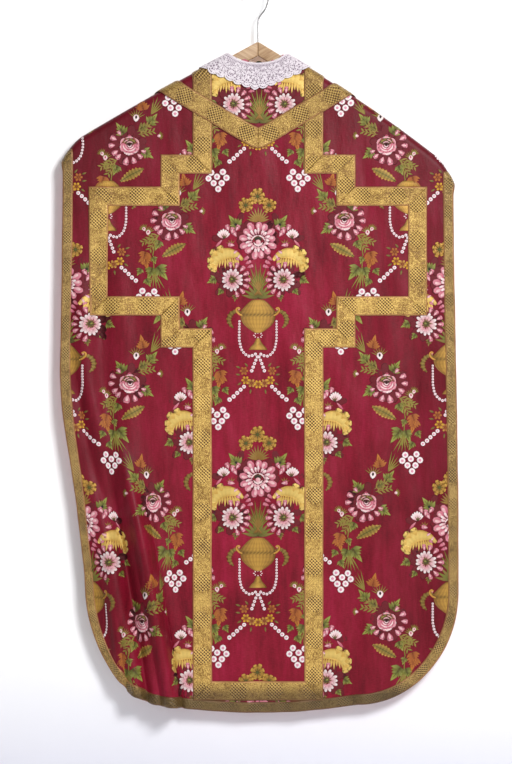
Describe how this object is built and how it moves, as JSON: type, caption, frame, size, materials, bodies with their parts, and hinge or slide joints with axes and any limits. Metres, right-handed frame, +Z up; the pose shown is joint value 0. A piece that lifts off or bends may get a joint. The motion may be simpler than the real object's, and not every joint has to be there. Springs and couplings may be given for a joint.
{
  "type": "chasuble on hanger",
  "caption": "Fiddleback chasuble with a stepped cross, galloon trim and lace collar, hanging on a wooden hanger with a wire hook.",
  "frame": {"origin": "the point inside the top of the hook's bend that bears on a rail", "axes": "+Z up along the hook's shank, +Y from the back of the chasuble to its front, +X to the right of someone facing its back"},
  "size_m": [0.6856, 0.0593, 1.2495],
  "materials": {
    "silk": "brocaded silk with a soft sheen",
    "galloon": "woven gold galloon",
    "lace": "white cotton lace",
    "canvas": "stiff linen canvas",
    "lining": "plain woven cotton",
    "tape": "linen tape",
    "wood": "smooth beech, unvarnished",
    "steel": "bright drawn wire"
  },
  "bodies": {
    "hook": {"hook": "steel", "hook_nut": "steel"},
    "hanger": {"hanger_arm_left": "wood", "hanger_arm_right": "wood", "hanger_tongue": "wood"},
    "garment": {"back_lining": "lining", "back_interlining": "canvas", "back_silk_neck": "silk", "back_silk_cross": "silk", "back_silk_left": "silk", "back_silk_right": "silk", "back_edge_braid": "galloon", "cross_braid_left": "galloon", "cross_braid_right": "galloon", "cross_braid_foot": "galloon", "neck_braid_left": "galloon", "neck_braid_right": "galloon", "back_lace": "lace", "back_neck_facing": "tape", "front_lining": "lining", "front_interlining": "canvas", "front_silk_pillar": "silk", "front_silk_left": "silk", "front_silk_right": "silk", "front_edge_braid": "galloon", "shoulder_braid_left": "galloon", "shoulder_braid_right": "galloon", "front_neck_braid_left": "galloon", "front_neck_braid_right": "galloon", "pillar_braid_left": "galloon", "pillar_braid_right": "galloon", "pillar_braid_foot": "galloon", "front_lace_left": "lace", "front_lace_right": "lace", "front_neck_facing_left": "tape", "front_neck_facing_right": "tape"}
  },
  "joints": [
    {"name": "hook_swivel", "type": "hinge", "parent": "hook", "child": "hanger", "pos_m": [0, 0, -0.1], "axis": [0, 0, 1], "continuous": true},
    {"name": "garment_lift", "type": "slide", "parent": "hanger", "child": "garment", "axis": [0, 0, 1], "range_m": [0, 1.27]}
  ]
}
